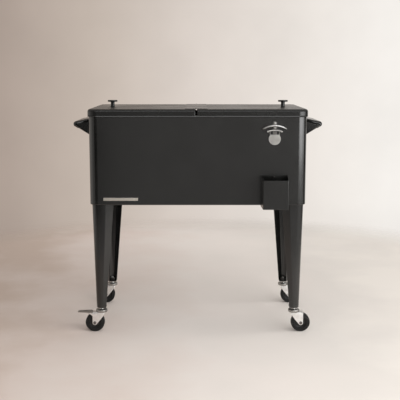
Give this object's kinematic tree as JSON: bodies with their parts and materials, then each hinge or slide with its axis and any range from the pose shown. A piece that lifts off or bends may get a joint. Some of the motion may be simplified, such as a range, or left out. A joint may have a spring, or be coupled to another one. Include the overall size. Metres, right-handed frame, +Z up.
{
  "type": "rolling patio cooler",
  "caption": "Insulated steel drinks cooler on tapered legs with swivel casters, hinged lid halves, side handles, wall bottle opener, cap catcher and drain.",
  "frame": {"origin": "on the floor, below the middle of the whole cooler's box", "axes": "+X along the cabinet from the left handle to the right, +Y from the opener's side to the drain's, +Z up"},
  "size_m": [0.8378, 0.5152, 0.7705],
  "materials": {
    "black_powder_coat": "satin",
    "brushed_steel_strip": "satin",
    "cast_zinc": "satin",
    "zinc_plate": "satin",
    "black_plastic": "gloss",
    "white_plastic": "satin",
    "black_rubber": "matte",
    "grey_rubber": "matte",
    "cream_foam": "matte"
  },
  "bodies": {
    "cooler": {"outer_casing": "black_powder_coat", "base_pan": "black_powder_coat", "foam_insulation": "cream_foam", "inner_liner": "white_plastic", "name_plate": "brushed_steel_strip", "left_side_handle": "black_powder_coat", "right_side_handle": "black_powder_coat", "bottle_opener": "cast_zinc", "opener_top_screw": "zinc_plate", "opener_lower_screw": "zinc_plate", "catcher_screw": "zinc_plate", "drain_spout": "white_plastic", "drain_nut": "black_plastic", "drain_washer": "black_rubber", "front_left_leg": "black_powder_coat", "front_left_stem": "zinc_plate", "front_left_stem_nut": "zinc_plate", "front_right_leg": "black_powder_coat", "front_right_stem": "zinc_plate", "front_right_stem_nut": "zinc_plate", "rear_left_leg": "black_powder_coat", "rear_left_stem": "zinc_plate", "rear_left_stem_nut": "zinc_plate", "rear_right_leg": "black_powder_coat", "rear_right_stem": "zinc_plate", "rear_right_stem_nut": "zinc_plate"},
    "lid_hinge": {"lid_hinge_pin": "brushed_steel_strip"},
    "left_lid": {"left_lid_skin": "black_powder_coat", "left_lid_foam": "cream_foam", "left_lid_liner": "white_plastic", "left_lid_gasket": "grey_rubber", "left_lid_knob": "black_plastic", "left_hinge_leaf": "black_powder_coat"},
    "right_lid": {"right_lid_skin": "black_powder_coat", "right_lid_foam": "cream_foam", "right_lid_liner": "white_plastic", "right_lid_gasket": "grey_rubber", "right_lid_knob": "black_plastic", "right_hinge_leaf": "black_powder_coat"},
    "catcher": {"cap_catcher": "black_powder_coat"},
    "drain_plug": {"drain_cap": "black_plastic"},
    "front_left_swivel": {"front_left_fork": "zinc_plate", "front_left_axle": "zinc_plate"},
    "front_left_wheel": {"front_left_hub": "black_plastic", "front_left_tyre": "black_rubber"},
    "front_right_swivel": {"front_right_fork": "zinc_plate", "front_right_axle": "zinc_plate"},
    "front_right_wheel": {"front_right_hub": "black_plastic", "front_right_tyre": "black_rubber"},
    "rear_left_swivel": {"rear_left_fork": "zinc_plate", "rear_left_axle": "zinc_plate"},
    "rear_left_wheel": {"rear_left_hub": "black_plastic", "rear_left_tyre": "black_rubber"},
    "rear_right_swivel": {"rear_right_fork": "zinc_plate", "rear_right_axle": "zinc_plate"},
    "rear_right_wheel": {"rear_right_hub": "black_plastic", "rear_right_tyre": "black_rubber"},
    "brake": {"brake_lever": "zinc_plate"}
  },
  "joints": [
    {"name": "lid_lift", "type": "slide", "parent": "cooler", "child": "lid_hinge", "axis": [0, 0, 1], "range_m": [0, 0.12]},
    {"name": "left_lid_hinge", "type": "hinge", "parent": "lid_hinge", "child": "left_lid", "pos_m": [-0.005, 0.0277, 0.7493], "axis": [0, 1, 0], "range_deg": [0, 84]},
    {"name": "right_lid_hinge", "type": "hinge", "parent": "lid_hinge", "child": "right_lid", "pos_m": [-0.005, 0.0277, 0.7493], "axis": [0, -1, 0], "range_deg": [0, 84]},
    {"name": "catcher_lift", "type": "slide", "parent": "cooler", "child": "catcher", "axis": [0, 0, 1], "range_m": [0, 0.011]},
    {"name": "drain_cap_unscrew", "type": "slide", "parent": "cooler", "child": "drain_plug", "axis": [0, 1, 0], "range_m": [0, 0.03]},
    {"name": "front_left_caster_swivel", "type": "hinge", "parent": "cooler", "child": "front_left_swivel", "pos_m": [-0.32415, -0.15354, 0.0706], "axis": [0, 0, 1], "continuous": true},
    {"name": "front_left_wheel_spin", "type": "hinge", "parent": "front_left_swivel", "child": "front_left_wheel", "pos_m": [-0.34655, -0.15354, 0.03175], "axis": [0, 1, 0], "continuous": true},
    {"name": "front_right_caster_swivel", "type": "hinge", "parent": "cooler", "child": "front_right_swivel", "pos_m": [0.32415, -0.15354, 0.0706], "axis": [0, 0, 1], "continuous": true},
    {"name": "front_right_wheel_spin", "type": "hinge", "parent": "front_right_swivel", "child": "front_right_wheel", "pos_m": [0.34655, -0.15354, 0.03175], "axis": [0, 1, 0], "continuous": true},
    {"name": "rear_left_caster_swivel", "type": "hinge", "parent": "cooler", "child": "rear_left_swivel", "pos_m": [-0.32415, 0.20894, 0.0706], "axis": [0, 0, 1], "continuous": true},
    {"name": "rear_left_wheel_spin", "type": "hinge", "parent": "rear_left_swivel", "child": "rear_left_wheel", "pos_m": [-0.34655, 0.20894, 0.03175], "axis": [0, 1, 0], "continuous": true},
    {"name": "rear_right_caster_swivel", "type": "hinge", "parent": "cooler", "child": "rear_right_swivel", "pos_m": [0.32415, 0.20894, 0.0706], "axis": [0, 0, 1], "continuous": true},
    {"name": "rear_right_wheel_spin", "type": "hinge", "parent": "rear_right_swivel", "child": "rear_right_wheel", "pos_m": [0.34655, 0.20894, 0.03175], "axis": [0, 1, 0], "continuous": true},
    {"name": "brake_press", "type": "hinge", "parent": "front_left_swivel", "child": "brake", "pos_m": [-0.34815, -0.15354, 0.058], "axis": [0, -1, 0], "range_deg": [0, 28]}
  ]
}
